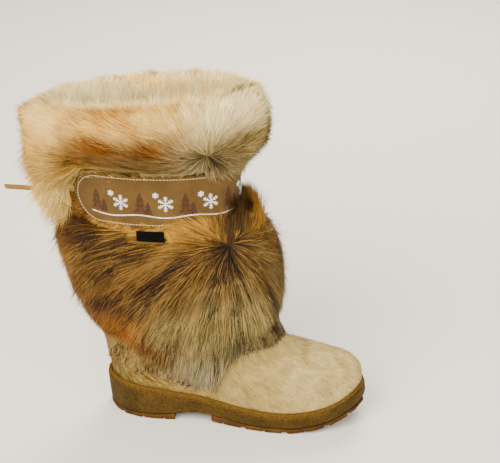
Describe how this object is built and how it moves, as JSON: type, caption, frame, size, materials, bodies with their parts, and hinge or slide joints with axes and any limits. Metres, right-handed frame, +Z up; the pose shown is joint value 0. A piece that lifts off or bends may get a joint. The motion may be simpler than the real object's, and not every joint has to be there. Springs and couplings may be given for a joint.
{
  "type": "mukluk boot",
  "caption": "Calf-high fur mukluk boot for the right foot: hide upper on a rubber cup sole with heel, long fur shaft and cuff, pinked suede waist band and a thong tied behind.",
  "frame": {"origin": "on the floor under the middle of the heel", "axes": "+X to the toe, +Y to the inner side of the foot, +Z up"},
  "size_m": [0.3883, 0.16, 0.3745],
  "materials": {
    "crepe_rubber": "honey crepe rubber, pebbled and matte, with a smoother lip",
    "gum_rubber": "moulded gum rubber, matte",
    "fleece": "short cream pile",
    "hide": "short-haired hide, cream-beige",
    "shaft_fur": "long fur, golden with black-brown and cream tips",
    "cuff_fur": "long fur, cream with golden and dark patches",
    "suede": "tan suede, embroidered and top-stitched",
    "label_cloth": "black woven tape",
    "thong": "tan suede thong"
  },
  "bodies": {
    "root": {"cup_sole": "crepe_rubber", "heel_tread": "gum_rubber", "forefoot_tread": "gum_rubber", "insole": "fleece", "upper": "hide", "shaft_fur": "shaft_fur", "cuff_fur": "cuff_fur", "waist_band": "suede", "label_tab": "label_cloth", "lace_knot": "thong", "lace_end": "thong"}
  },
  "joints": []
}
